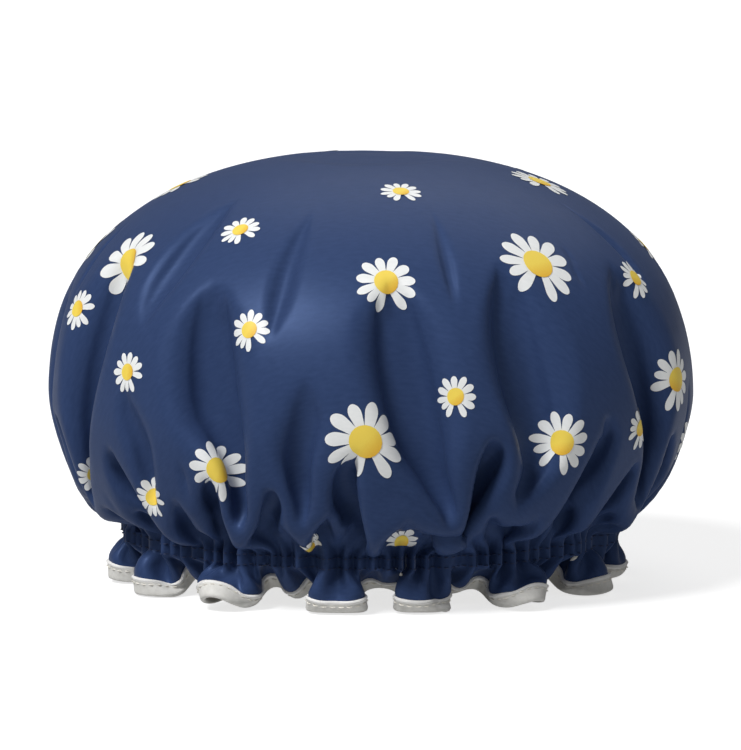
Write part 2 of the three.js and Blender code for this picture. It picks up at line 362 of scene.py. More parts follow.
def keep_form(points):
    """Holds the crown between the soft filling inside and its greatest reach."""
    radius = np.hypot(points[:, 0], points[:, 1])
    level = points[:, 2].copy()
    upper = crown_points & (level >= WIDEST)
    lower = crown_points & (level < WIDEST)
    height = np.maximum(level - WIDEST, 0)
    near_top = 1 - np.clip((radius - 0.05) / 0.045, 0, 1)
    wide = INNER_RADIUS + (CROWN_RADIUS - INNER_RADIUS) * near_top
    inside = dome_share(radius, height, wide, DOME_RISE - 0.0003)
    outside = dome_share(radius, height, OUTER_RADIUS, DOME_RISE + 0.0012)
    grow = np.ones(len(points))
    pressed = upper & (inside < 1)
    grow[pressed] = 1 / inside[pressed]
    proud = upper & (outside > 1)
    grow[proud] = 1 + FORM_GIVE * (1 / outside[proud] - 1)
    fall = np.clip((WIDEST - level) / (WIDEST - REACH_LEVEL), 0, 1)
    reach = REACH_LOW + (OUTER_RADIUS - REACH_LOW) * (1 - fall**REACH_TUCK)
    proud = lower & (radius > reach)
    grow[proud] = 1 + FORM_GIVE * (reach[proud] / radius[proud] - 1)
    least = np.interp(level, side_level, side_inner)
    pressed = lower & (level > BULGE_LEVEL) & (radius < least)
    grow[pressed] = least[pressed] / radius[pressed]
    points[:, :2] *= grow[:, None]
    points[upper, 2] = WIDEST + height[upper] * grow[upper]


def close_pairs(points, reach):
    """Pairs of points that lie within reach, but far apart along the cloth."""
    cell = np.floor((points - points.min(0)) / reach).astype(np.int64) + 1
    size = cell.max(0) + 2
    key = (cell[:, 0] * size[1] + cell[:, 1]) * size[2] + cell[:, 2]
    order = np.argsort(key, kind="stable")
    key = key[order]
    shifts = [(x, y, z) for x in (0, 1) for y in (-1, 0, 1) for z in (-1, 0, 1)]
    firsts, seconds = [], []
    for x, y, z in shifts[shifts.index((0, 0, 0)):]:
        wanted = key + (x * size[1] + y) * size[2] + z
        low = np.searchsorted(key, wanted, "left")
        high = np.searchsorted(key, wanted, "right")
        if (x, y, z) == (0, 0, 0):
            low = np.arange(len(key)) + 1
        count = np.maximum(high - low, 0)
        first = np.repeat(np.arange(len(key)), count)
        skipped = np.concatenate([[0], np.cumsum(count)[:-1]])
        second = np.arange(len(first)) + np.repeat(low - skipped, count)
        firsts.append(order[first])
        seconds.append(order[second])
    first, second = np.concatenate(firsts), np.concatenate(seconds)
    near = ((points[first] - points[second]) ** 2).sum(1) < reach * reach
    first, second = first[near], second[near]
    apart = np.abs(column_of[first] - column_of[second])
    apart = np.minimum(apart, COLUMNS - apart)
    across = apart * (hoop[ring_of[first]] + hoop[ring_of[second]]) / 2
    along = np.hypot(cut[ring_of[first]] - cut[ring_of[second]], across)
    used = (along > 2.6 * TOUCH) & (free[first] + free[second] > 0)
    return first[used], second[used]


def keep_apart(points, first, second):
    """Pushes layers of cloth that touch away from each other."""
    along = points[second] - points[first]
    length = np.sqrt((along * along).sum(1)) + 1e-9
    touching = length < TOUCH
    first, second = first[touching], second[touching]
    push = (TOUCH_PUSH * (TOUCH - length) / length)[touching, None] * along[touching]
    for axis in range(3):
        moved = np.bincount(second, push[:, axis], len(points))
        moved -= np.bincount(first, push[:, axis], len(points))
        points[:, axis] += moved * free


def net_normals(net):
    """Outward normals of a net of rings and columns."""
    around = np.roll(net, -1, 1) - np.roll(net, 1, 1)
    normal = np.cross(np.gradient(net, axis=0), around)
    return normal / (np.linalg.norm(normal, axis=2, keepdims=True) + 1e-12)


def settle(start):
    """Lets the cloth fill out, sag and fold until it hangs as it is worn."""
    points = start.reshape(-1, 3).copy()
    home = points[frill_points].copy()
    speed = np.zeros_like(points)
    inflate = np.where(cut < CUT_SEAM_HIGH, INFLATION, 0.0)[:, None, None]
    weight = CROWN_WEIGHT * np.clip((cut[ring_of] - 0.11) / 0.08, 0.05, 1)
    weight = np.where(crown_points, weight, FRILL_WEIGHT)
    hanging = ((mean_level < HANG_LEVEL) & (cut < CUT_SEAM_HIGH - 0.003))[ring_of]
    hang_level = mean_level[ring_of][hanging]
    for step in range(STEPS):
        if step % DRIVE_EVERY == 0:
            net = points.reshape(RINGS, COLUMNS, 3)
            drive = (net_normals(net) * inflate).reshape(-1, 3)
            drive[:, 2] -= weight
        if step % PAIRS_EVERY == 0:
            pairs = close_pairs(points, 1.8 * TOUCH)
        moved = points + (SPEED_KEPT * speed + drive) * free[:, None]
        keep_threads(moved)
        keep_form(moved)
        keep_apart(moved, *pairs)
        moved[hanging, 2] += HANG_PULL * np.minimum(hang_level - moved[hanging, 2], 0)
        moved[frill_points] += FRILL_HOLD * (home - moved[frill_points])
        moved[frill_points, 2] = np.maximum(moved[frill_points, 2], HEM_LIFT)
        speed = moved - points
        fast = np.linalg.norm(speed, axis=1, keepdims=True)
        speed *= np.minimum(1, SPEED_LIMIT / np.maximum(fast, 1e-9))
        points = moved
    return points.reshape(RINGS, COLUMNS, 3)


def refine_columns(net):
    """Doubles the columns along smooth curves."""
    even = (np.roll(net, 1, 1) + 6 * net + np.roll(net, -1, 1)) / 8
    odd = (net + np.roll(net, -1, 1)) / 2
    return np.stack([even, odd], axis=2).reshape(len(net), -1, 3)


def refine_rings(net):
    """Doubles the rings along smooth curves, with the first and last ring kept."""
    fine = np.empty((2 * len(net) - 1, *net.shape[1:]))
    fine[0::2] = net
    fine[2:-1:2] = (net[:-2] + 6 * net[1:-1] + net[2:]) / 8
    fine[1::2] = (net[:-1] + net[1:]) / 2
    return fine


settled = refine_rings(refine_columns(settle(starting_shape())))
GATHER_BLEND = 4
CREASE, CREASE_REACH = 1.7, 7
HEM_ROWS = 6
fine_cut = np.interp(np.arange(len(settled)) / 2, np.arange(RINGS), cut)
FINE_COLUMNS = settled.shape[1]
fine_azimuth = TURN * np.arange(FINE_COLUMNS) / FINE_COLUMNS


def sharpen_gathers(net):
    """Gives the casing its full gathers again, which the smoothing has worn down."""
    high, low = 2 * HIGH_RING, 2 * LOW_RING
    ring = flat_polar(GATHER_RADIUS + GATHER_DEPTH * crimp(fine_azimuth), fine_azimuth)
    for row in range(high - GATHER_BLEND + 1, low + GATHER_BLEND):
        seam = min(max(row, high), low)
        share = 1 - abs(row - seam) / GATHER_BLEND
        net[row, :, :2] += share * (ring - net[seam, :, :2]) if row != seam else 0
    net[high : low + 1, :, :2] = ring


def press_hem(net):
    """Takes the finest gathers out of the hem, where the binding holds it smooth."""
    for back in range(HEM_ROWS):
        for _ in range(2 * (HEM_ROWS - back)):
            net[-1 - back] = softened(net[-1 - back], 0)


def crease_folds(net):
    """Draws the hollows of the folds in, so that they end in creases while the crests stay round."""
    smooth = net.copy()
    for _ in range(CREASE_REACH):
        smooth = softened(smooth, 1, 2)
    normal = net_normals(net)
    depth = np.minimum(((net - smooth) * normal).sum(2), 0)
    share = np.interp(fine_cut, (0.05, 0.09, CUT_SEAM_HIGH - 0.012, CUT_SEAM_HIGH - 0.004), (0, 1, 1, 0))
    net += CREASE * share[:, None, None] * depth[..., None] * normal


crease_folds(settled)
sharpen_gathers(settled)
press_hem(settled)

# The smooth top inside the net's first ring
CAP_RINGS = 6
cap_cut = np.linspace(0, POLE, CAP_RINGS + 1)[:-1]
cap_radius = np.interp(cap_cut, line_length, line_radius)[:, None]
cap_level = np.interp(cap_cut, line_length, line_level)[:, None]
cap = polar(cap_radius, fine_azimuth, cap_level)

cloth = np.concatenate([cap, settled])
cloth_cut = np.concatenate([cap_cut, fine_cut])
cap_tilt = np.gradient(cap_level[:, 0], np.maximum(cap_radius[:, 0], 1e-6))[:, None]
cap_normal = polar(-cap_tilt, fine_azimuth, 1)
cap_normal[0] = (0, 0, 1)
cloth_normal = unit(np.concatenate([cap_normal, net_normals(settled)]))
SEAM_ROW = CAP_RINGS + 2 * HIGH_RING
LOW_ROW = CAP_RINGS + 2 * LOW_RING
HEM_ROW = len(cloth) - 1


def on_cloth(at_cut, at_angle, lift):
    """Points on the settled cloth, given by cut radius and angle, lifted off its surface."""
    row = np.interp(at_cut, cloth_cut, np.arange(len(cloth)))
    column = np.mod(at_angle, TURN) / TURN * FINE_COLUMNS
    low = np.minimum(row.astype(int), HEM_ROW - 1)
    left = column.astype(int) % FINE_COLUMNS
    right = (left + 1) % FINE_COLUMNS
    down = (row - low)[..., None]
    over = (column - np.floor(column))[..., None]

    def mix(grid):
        upper = grid[low, left] * (1 - over) + grid[low, right] * over
        lower = grid[low + 1, left] * (1 - over) + grid[low + 1, right] * over
        return upper * (1 - down) + lower * down

    return mix(cloth) + lift * mix(cloth_normal)


# Camera at the photograph's angle: from the front, a little above level
IMAGE_WIDTH, IMAGE_HEIGHT = 741, 750
CAMERA_ELEVATION = 7
CAMERA_DISTANCE = 2.2
SENSOR = 36.0
SHOWN_WIDTH = 0.265
TARGET = Vector((0, 0, 0.073))
toward_camera = direction(0, CAMERA_ELEVATION)
camera_data = bpy.data.cameras.new("camera")
camera_data.sensor_width = SENSOR
camera_data.lens = SENSOR * CAMERA_DISTANCE / (SHOWN_WIDTH * IMAGE_HEIGHT / IMAGE_WIDTH)
camera = new_object("camera", camera_data)
camera.location = TARGET + toward_camera * CAMERA_DISTANCE
camera.rotation_euler = (-toward_camera).to_track_quat("-Z", "Y").to_euler()
scene.camera = camera

# Where each point of the cloth shows from the front, as shares of the cap's outline
view_forward = -np.array(toward_camera)
view_up = np.cross((1, 0, 0), view_forward)
sight = cloth - np.array(camera.location)
depth = sight @ view_forward
seen_across = sight[..., 0] / depth
seen_up = (sight @ view_up) / depth
seen_across /= np.abs(seen_across).max()
seen_up = (seen_up - seen_up.min()) / (seen_up.max() - seen_up.min())
facing = -(cloth_normal * sight).sum(2) / np.linalg.norm(sight, axis=2)


def spot_on_front(across, up):
    """Cut radius and angle of the cloth seen at that place on the front of the cap: the smallest
    miss, sideways ones counting less and nearer layers more, among what faces the camera."""
    miss = np.hypot((seen_across - across) * 0.7, seen_up - up)
    score = np.where(facing > 0.05, miss, np.inf) + 0.05 * depth
    row, column = np.unravel_index(np.argmin(score), score.shape)
    return cloth_cut[row], fine_azimuth[column]


# Materials
WAVE_LENGTH = 0.314  # of the wave texture at a scale of 1
CLOTH_PITCH = 0.00045


def new_material(name, values):
    """A material with those values on its shader, and tools for its nodes."""
    material = bpy.data.materials.new(name)
    material.use_nodes = True
    nodes = material.node_tree.nodes
    shader = nodes["Principled BSDF"]
    for socket, value in values.items():
        shader.inputs[socket].default_value = value

    def node(kind, inputs=None, **settings):
        made = nodes.new("ShaderNode" + kind)
        for key, value in settings.items():
            setattr(made, key, value)
        for key, value in (inputs or {}).items():
            if isinstance(value, bpy.types.NodeSocket):
                material.node_tree.links.new(value, made.inputs[key])
            else:
                made.inputs[key].default_value = value
        return made

    def link(value, socket):
        material.node_tree.links.new(value, shader.inputs[socket])

    return material, node, link


def maths(node, operation, *values):
    """Result of an operation on numbers or sockets."""
    return node("Math", dict(enumerate(values)), operation=operation).outputs[0]


def mapped(node, scale):
    """Place on the flat cut, in metres times scale."""
    place = node("UVMap", uv_map="cut").outputs[0]
    return node("Mapping", {"Vector": place, "Scale": scale}).outputs[0]


def noise(node, across, along, detail):
    """Cloudy values with about so many changes a metre across and along the cut."""
    place = mapped(node, (across, along, 1))
    return node("TexNoise", {"Vector": place, "Scale": 1.0, "Detail": detail}).outputs[0]


def bands(node, scale, distortion, direction="X", repeat=1.0):
    """Soft bands over the flat cut."""
    inputs = {"Vector": mapped(node, scale), "Scale": repeat, "Distortion": distortion}
    return node("TexWave", inputs, bands_direction=direction).outputs[1]


def weave(node, pitch):
    """Height of crossing threads of that pitch."""
    scale = (WAVE_LENGTH / pitch,) * 3
    return maths(node, "MAXIMUM", bands(node, scale, 0.6, "X"), bands(node, scale, 0.6, "Y"))


def bumped(node, link, height, strength, distance):
    """Fine relief on the surface, up to that distance."""
    bump = node("Bump", {"Height": height, "Strength": strength, "Distance": distance})
    link(bump.outputs[0], "Normal")


def mixed_colour(node, factor, low, high, start=0.3, end=0.7):
    """Colour that goes from low to high as factor goes from start to end."""
    ramp = node("ValToRGB", {"Fac": factor})
    for stop, position, colour in zip(ramp.color_ramp.elements, (start, end), (low, high)):
        stop.position = position
        stop.color = (*colour, 1)
    return ramp.outputs[0]


def satin(name, low, high, gloss):
    """Smooth woven cloth with slubs in its colour and a gloss tinted by its dye."""
    material, node, link = new_material(name, {
        "Specular IOR Level": 0.28, "Specular Tint": (*gloss, 1),
        "Sheen Weight": 0.03, "Sheen Roughness": 0.4, "Sheen Tint": (*gloss, 1)})
    link(mixed_colour(node, noise(node, 260, 800, 3), low, high), "Base Color")
    rough = node("MapRange", {"Value": noise(node, 60, 60, 2), "To Min": 0.36, "To Max": 0.48})
    link(rough.outputs[0], "Roughness")
    bumped(node, link, weave(node, CLOTH_PITCH), 0.12, 0.0001)
    return material


def daisy_eye(name, light, deep):
    """Printed colour that deepens on the lower right of each flower."""
    material, node, link = new_material(name, {"Roughness": 0.5})
    place = node("UVMap", uv_map="motif").outputs[0]
    across, up, _ = node("SeparateXYZ", {0: place}).outputs
    slope = maths(node, "SUBTRACT", across, up)
    slope = maths(node, "MULTIPLY_ADD", noise(node, 1500, 1500, 2), 0.25, slope)
    link(mixed_colour(node, slope, light, deep, 0.1, 0.9), "Base Color")
    bumped(node, link, weave(node, CLOTH_PITCH), 0.12, 0.0001)
    return material


def tape(name, low, high, pitch):
    """Plain-woven tape with a fuller weave than the cloth."""
    material, node, link = new_material(name, {"Roughness": 0.8, "Sheen Weight": 0.15})
    link(mixed_colour(node, noise(node, 350, 350, 3), low, high), "Base Color")
    bumped(node, link, weave(node, pitch), 0.35, 0.0002)
    return material


def relief_shaded(name, roughness, low, high, pattern, strength, distance):
    """Stuff whose relief follows one pattern, given by its function and values; its colour follows the
    same pattern, so the hollows of the relief carry painted shade.
    """
    material, node, link = new_material(name, {"Roughness": roughness})
    make, *values = pattern
    height = make(node, *values)
    # painted shade: the colour darkens where the pattern's relief is low
    link(mixed_colour(node, height, low, high), "Base Color")
    bumped(node, link, height, strength, distance)
    return material


FILM_CREASES = (noise, 120, 120, 4)
BRAID_RIBS = (bands, (300, 1, 1), 0.4)
THREAD_TWIST = (bands, (1, 1, 1), 0.5, "DIAGONAL", 260)
NAVY_SATIN = satin("navy_satin", (0.0265, 0.048, 0.123), (0.0325, 0.057, 0.143), (0.35, 0.52, 1))
PRINT_WHITE = satin("print_white", (0.81, 0.83, 0.83), (0.86, 0.87, 0.87), (1, 1, 1))
PRINT_YELLOW = daisy_eye("print_yellow", (0.90, 0.67, 0.09), (0.80, 0.43, 0.025))
BINDING_CREAM = tape("binding_cream", (0.70, 0.69, 0.65), (0.80, 0.79, 0.755), 0.0005)
BINDING_EDGE = tape("binding_edge", (0.86, 0.85, 0.83), (0.93, 0.92, 0.90), 0.0004)
CASING_TAPE = tape("casing_tape", (0.66, 0.64, 0.57), (0.76, 0.74, 0.68), 0.0006)
# Lining, elastic and threads: darker where their relief is low, painted shade in its hollows
LINING_FILM = relief_shaded("lining_film", 0.42, (0.74, 0.71, 0.63), (0.84, 0.82, 0.75),
                        FILM_CREASES, 0.3, 0.0012)
ELASTIC_BRAID = relief_shaded("elastic_braid", 0.7, (0.70, 0.69, 0.66), (0.88, 0.87, 0.84),
                          BRAID_RIBS, 0.6, 0.0004)
NAVY_THREAD = relief_shaded("navy_thread", 0.6, (0.016, 0.028, 0.08), (0.026, 0.044, 0.118),
                        THREAD_TWIST, 0.5, 0.0001)
CREAM_THREAD = relief_shaded("cream_thread", 0.6, (0.78, 0.75, 0.67), (0.90, 0.87, 0.80),
                         THREAD_TWIST, 0.5, 0.0001)


# Pieces
def add_piece(name, points, faces, layers, materials, face_material=None):
    """A smooth mesh with named coordinate layers given per point."""
    mesh = bpy.data.meshes.new(name)
    mesh.from_pydata(np.asarray(points).tolist(), [], faces)
    corner = np.empty(len(mesh.loops), dtype=np.int32)
    mesh.loops.foreach_get("vertex_index", corner)
    for layer, values in layers.items():
        made = mesh.uv_layers.new(name=layer)
        made.data.foreach_set("uv", np.asarray(values, dtype=np.float32)[corner].ravel())
    for material in materials:
        mesh.materials.append(material)
    if face_material is not None:
        mesh.polygons.foreach_set("material_index", np.asarray(face_material, dtype=np.int32))
    mesh.shade_smooth()
    mesh.update()
    return new_object(name, mesh)


def band_faces(rows, columns, first=0, closed=True):
    """Quads between rings of points."""
    row, column = np.mgrid[0 : rows - 1, 0 : columns if closed else columns - 1]
    here = first + row * columns
    after = (column + 1) % columns
    quads = np.stack([here + column, here + columns + column, here + columns + after,
                      here + after], axis=2)
    return quads.reshape(-1, 4).tolist()


def fan_faces(first, count):
    """Triangles between a ring of points and the point that comes after them."""
    return [[first + n, first + (n + 1) % count, first + count] for n in range(count)]


def cloth_sheet(name, first_row, last_row, lift, material, outward=True):
    """A sheet that follows the settled cloth between two rows; row 0 closes the top with rings
    that halve their points."""
    rows = range(last_row, max(first_row, CAP_RINGS) - 1, -1)
    columns = np.arange(FINE_COLUMNS)
    rings = [(np.full(FINE_COLUMNS, row), columns) for row in rows]
    faces = [face[::-1] for face in band_faces(len(rows), FINE_COLUMNS)]
    start, count = (len(rows) - 1) * FINE_COLUMNS, FINE_COLUMNS
    if first_row == 0:
        for row in range(CAP_RINGS - 1, 0, -1):
            columns = columns[::2]
            rings.append((np.full(len(columns), row), columns))
            inner = start + count
            for index in range(len(columns)):
                here, after = inner + index, inner + (index + 1) % len(columns)
                low, mid = start + 2 * index, start + 2 * index + 1
                high = start + (2 * index + 2) % count
                faces += [[low, mid, here], [mid, high, after], [mid, after, here]]
            start, count = inner, len(columns)
        rings.append((np.array([0]), np.array([0])))
        faces += fan_faces(start, count)
    row, column = (np.concatenate(part) for part in zip(*rings))
    tight = np.interp(row, (SEAM_ROW, LOW_ROW + 2, LOW_ROW + 8, HEM_ROW), (0.1, 0.1, 0.3, 1))
    points = cloth[row, column] + (lift * tight)[:, None] * cloth_normal[row, column]
    if not outward:
        faces = [face[:1] + face[:0:-1] for face in faces]
    place = flat_polar(cloth_cut[row], fine_azimuth[column])
    return add_piece(name, points, faces, {"cut": place}, [material])


# The printed daisies
LARGE, MEDIUM, SMALL = 0.0305, 0.0230, 0.0155
PETAL_TURNS = (8, 42, 75, 107, 138, 171, 203, 228, 256, 309, 340)
PETAL_REACH = (0.90, 0.88, 0.92, 0.88, 0.96, 0.92, 0.98, 0.88, 0.97, 1.0, 0.98)
PETAL_SPAN = (1.0, 1.06, 0.98, 0.92, 1.0, 1.04, 0.86, 0.82, 0.94, 0.92, 1.0)
PETAL_WIDTH = 0.158
CENTRE_RADIUS = 0.188
PRINT_LIFT, CENTRE_LIFT = 0.00018, 1.9  # the centres' lift is a share of the petals'
PRINT_CLEAR_HIGH, PRINT_CLEAR_LOW = 0.004, 0.003
FRONT_DAISIES = (
    (0.05, 0.719, MEDIUM), (0.517, 0.756, LARGE), (-0.018, 0.366, LARGE),
    (0.596, 0.364, MEDIUM), (-0.372, 0.608, SMALL), (0.096, 0.912, SMALL),
    (0.26, 0.461, SMALL), (-0.476, 0.304, MEDIUM), (-0.74, 0.751, LARGE),
    (-0.91, 0.654, SMALL), (-0.753, 0.525, SMALL), (-0.404, 0.83, SMALL),
    (0.524, 0.93, MEDIUM), (0.82, 0.719, SMALL), (0.951, 0.498, MEDIUM),
    (0.833, 0.40, SMALL), (-0.667, 0.253, SMALL), (-0.845, 0.304, SMALL),
    (-0.585, 0.93, MEDIUM), (-0.181, 0.137, SMALL), (0.093, 0.155, SMALL),
    (0.445, 0.146, SMALL), (0.563, 0.164, SMALL), (-0.729, 0.17, SMALL), (0.853, 0.80, SMALL),
)
SCATTER_SPACING = 0.034
SCATTER_TRIES = 4000
SCATTER_ODDS = (0.25, 0.35, 0.4)
TURNED_AWAY, TURNED_AWAY_TOP = -0.3, -0.07


def petal_outline(along):
    """Half-width of a petal from its root, 0, to its tip, 1, as a share of the widest."""
    root = 0.6 + 0.4 * np.clip(along / 0.6, 0, 1)
    tip = np.sqrt(np.clip(1 - (np.clip(along - 0.62, 0, 1) / 0.38) ** 2, 0, 1))
    return root * tip


def daisy_shape():
    """Points and faces of a daisy one unit across, with each face's material."""
    points, faces = [], []
    steps, sides = 12, 5
    along, side = np.meshgrid(np.sin(np.linspace(0, np.pi / 2, steps)),
                              np.linspace(-1, 1, sides), indexing="ij")
    for angle, reach, span in zip(np.radians(PETAL_TURNS), PETAL_REACH, PETAL_SPAN):
        root, tip = 0.8 * CENTRE_RADIUS, 0.5 * reach
        out = root + (tip - root) * along
        across = PETAL_WIDTH / 2 * span * petal_outline(along) * side
        x = out * math.cos(angle) - across * math.sin(angle)
        y = out * math.sin(angle) + across * math.cos(angle)
        faces += band_faces(steps, sides, len(points), closed=False)
        points += np.stack([x, y], axis=2).reshape(-1, 2).tolist()
    rings, spokes = 4, 20
    out, turn = np.meshgrid(CENTRE_RADIUS * np.arange(rings, 0, -1) / rings,
                            TURN * np.arange(spokes) / spokes, indexing="ij")
    first = len(points)
    points += flat_polar(out, turn).reshape(-1, 2).tolist()
    points.append([0, 0])
    kinds = [0] * len(faces)
    faces += [face[::-1] for face in band_faces(rings, spokes, first)]
    faces += fan_faces(first + (rings - 1) * spokes, spokes)
    kinds += [1] * (len(faces) - len(kinds))
    layer = np.where(np.arange(len(points)) < first, 1.0, CENTRE_LIFT)
    return np.array(points), faces, kinds, layer


def daisy_places():
    """Cut radius, angle and size of every daisy: those of the front, then an even scatter on what
    is turned away from the camera."""
    places = [(*spot_on_front(across, up), size) for across, up, size in FRONT_DAISIES]
    random = np.random.default_rng(SEED)
    cuts = CUT_HEM * np.sqrt(random.uniform(0, 1, SCATTER_TRIES))
    angles = random.uniform(0, TURN, SCATTER_TRIES)
    sizes = random.choice((LARGE, MEDIUM, SMALL), SCATTER_TRIES, p=SCATTER_ODDS)
    taken = [on_cloth(np.array(c), np.array(a), 0) for c, a, _ in places]
    for at_cut, angle, size in zip(cuts, angles, sizes):
        row = np.searchsorted(cloth_cut, at_cut)
        spot = on_cloth(np.array(at_cut), np.array(angle), 0)
        hidden = TURNED_AWAY_TOP if spot[2] > 0.9 * TOP else TURNED_AWAY
        if facing[row, int(angle / TURN * FINE_COLUMNS) % FINE_COLUMNS] > hidden:
            continue
        if np.linalg.norm(np.array(taken) - spot, axis=1).min() > SCATTER_SPACING:
            places.append((at_cut, angle, size))
            taken.append(spot)
    return places


def print_piece(name, places, first_cut, last_cut):
    """The daisies on one stretch of the cloth, cut off at its edges."""
    shape, shape_faces, kinds, layer = daisy_shape()
    points, faces, materials, layer_cut, layer_motif = [], [], [], [], []
    for at_cut, angle, size in places:
        if not first_cut < at_cut < last_cut:
            continue
        offset = shape * size
        out = offset @ (math.cos(angle), math.sin(angle))
        across = offset @ (-math.sin(angle), math.cos(angle)) / cloth_share(at_cut)
        reach = np.hypot(at_cut + out, across)
        turned = angle + np.arctan2(across, at_cut + out)
        inside = (reach > first_cut) & (reach < last_cut)
        reach = np.clip(reach, first_cut, last_cut)
        first = sum(len(part) for part in points)
        points.append(on_cloth(reach, turned, PRINT_LIFT * layer[:, None]))
        layer_cut.append(flat_polar(reach, turned))
        layer_motif.append(shape / (2 * CENTRE_RADIUS) + 0.5)
        for face, kind in zip(shape_faces, kinds):
            if inside[face].any():
                faces.append([first + corner for corner in face])
                materials.append(kind)
    points = np.concatenate(points)
    used = np.unique(np.concatenate(faces))
    faces = [np.searchsorted(used, face).tolist() for face in faces]
    layers = {"cut": np.concatenate(layer_cut)[used], "motif": np.concatenate(layer_motif)[used]}
    return add_piece(name, points[used], faces, layers, [PRINT_WHITE, PRINT_YELLOW], materials)


# The lining
LINING_LIFT = -0.0009
LINING_GAP = 0.0012
LINING_ROWS, LINING_COLUMNS = 72, 384
LINING_EYE = 0.05
LINING_PASSES = 6
LINING_BLEND = 8  # rows at either end
LINING_SEAM_GAP = 0.0006


def lining_dome():
    """Film that spans the outer cloth's folds from the inside, sewn in along the upper seam.
    Each point lies just short of the nearest cloth in its direction from the middle."""
    around = cloth[:SEAM_ROW].reshape(-1, 3) - (0, 0, LINING_EYE)
    distance = np.linalg.norm(around, axis=1)
    seam_tilt = math.atan2(SEAM_HIGH - LINING_EYE, GATHER_RADIUS)
    tilt = np.linspace(math.pi / 2, seam_tilt, LINING_ROWS)
    row = np.rint((math.pi / 2 - np.arcsin(around[:, 2] / distance)) / (tilt[0] - tilt[1]))
    row = row.astype(int)
    turned = np.mod(np.arctan2(around[:, 1], around[:, 0]), TURN)
    column = np.rint(turned / TURN * LINING_COLUMNS).astype(int) % LINING_COLUMNS
    nearest = np.full((LINING_ROWS, LINING_COLUMNS), np.inf)
    shown = row < LINING_ROWS
    np.minimum.at(nearest, (row[shown], column[shown]), distance[shown])
    nearest = np.minimum.reduce([np.roll(nearest, shift, 1) for shift in (-1, 0, 1)])
    padded = np.pad(nearest, ((1, 1), (0, 0)), mode="edge")
    nearest = np.minimum.reduce([padded[:-2], padded[1:-1], padded[2:]])
    nearest = np.where(np.isinf(nearest), np.min(nearest), nearest)
    nearest[:LINING_BLEND] = nearest[:LINING_BLEND].min(1, keepdims=True)
    limit = nearest.copy()
    for _ in range(LINING_PASSES):
        nearest = softened(nearest, 1)
        nearest[1:-1] = softened(nearest, 0)[1:-1]
        nearest = np.minimum(nearest, limit)
    nearest -= LINING_GAP
    angle = TURN * np.arange(LINING_COLUMNS) / LINING_COLUMNS
    flat = nearest * np.cos(tilt)[:, None]
    level = LINING_EYE + nearest * np.sin(tilt)[:, None]
    points = polar(flat, angle, level)
    seam = polar(GATHER_RADIUS - GATHER_DEPTH - LINING_SEAM_GAP, angle, SEAM_HIGH)
    edge = points[-1].copy()
    for back in range(LINING_BLEND):
        share = 1 - back / LINING_BLEND
        points[-1 - back] += share**1.5 * (seam - edge)
    place = flat_polar(np.linspace(0, CUT_SEAM_HIGH, LINING_ROWS)[:, None], angle).reshape(-1, 2)
    faces = [face[::-1] for face in band_faces(LINING_ROWS, LINING_COLUMNS)]
    return add_piece("lining_crown", points.reshape(-1, 3), faces, {"cut": place}, [LINING_FILM])


# Binding, casing, elastic and threads
BINDING_TOP = CUT_HEM - BINDING_WIDTH
EDGE_WIDTH = 0.0011
TAPE_LIFT, TAPE_UNDER = 0.0006, LINING_LIFT - 0.0005
FLOOR_GAP = 0.0002
CASING_INSET, CASING_GAP = 0.0032, 0.0012
CASING_CRIMP, CASING_RIPPLE = 0.72, 0.0007
ELASTIC_INSET, ELASTIC_LAP, ELASTIC_THICK, ELASTIC_STEPS = 0.0019, 0.016, 0.0007, 256
SEAM_PITCH, HEM_PITCH = 0.0028, 0.003
STITCH_LENGTH, THREAD_RADIUS, THREAD_SIDES, THREAD_BENDS = 0.72, 0.00022, 6, 5
THREAD_LIFT, SEAM_DROP, HEM_SEAM = 0.0001, 0.0012, 0.0021


def strip_place(radius, heights):
    """Place on a strip as long as the round of that radius, row by row."""
    return np.stack(np.meshgrid(fine_azimuth * radius, heights), axis=2).reshape(-1, 2)


def hem_binding():
    """Tape folded over the hem, with a lighter rolled edge along its outer top. Its section is a
    list of (cut radius, lift); what passes the hem is carried on along the cloth."""
    top, outer, inner = BINDING_TOP, TAPE_LIFT, TAPE_UNDER
    edge = [(top, 0.0001), (top + 0.0001, 0.0007), (top + EDGE_WIDTH / 2, 0.001),
            (top + EDGE_WIDTH, 0.0007), (top + EDGE_WIDTH + 0.0002, outer)]
    face = [(top + BINDING_WIDTH * share, outer) for share in (0.4, 0.6, 0.8, 0.95)]
    fold = [(CUT_HEM + 0.0005, outer * 0.6), (CUT_HEM + 0.0008, LINING_LIFT / 2),
            (CUT_HEM + 0.0005, inner * 0.8)]
    back = [(top + BINDING_WIDTH * share, inner) for share in (0.95, 0.7, 0.4, 0.05)]
    profile = edge + face + fold + back + [(top, LINING_LIFT - 0.0001)]
    hem_step = unit(cloth[HEM_ROW] - cloth[HEM_ROW - 1])
    points = np.concatenate([
        on_cloth(np.full(FINE_COLUMNS, at_cut), fine_azimuth, lift)
        + hem_step * max(at_cut - CUT_HEM, 0)
        for at_cut, lift in profile
    ])
    points[:, 2] = np.maximum(points[:, 2], FLOOR_GAP)
    length = np.concatenate([[0], np.cumsum(np.hypot(*np.diff(np.array(profile), axis=0).T))])
    faces = band_faces(len(profile), FINE_COLUMNS)
    kinds = np.repeat(np.arange(len(profile) - 1) < len(edge) - 1, FINE_COLUMNS)
    return add_piece("binding", points, faces, {"cut": strip_place(CUT_HEM, length)},
                     [BINDING_CREAM, BINDING_EDGE], kinds)


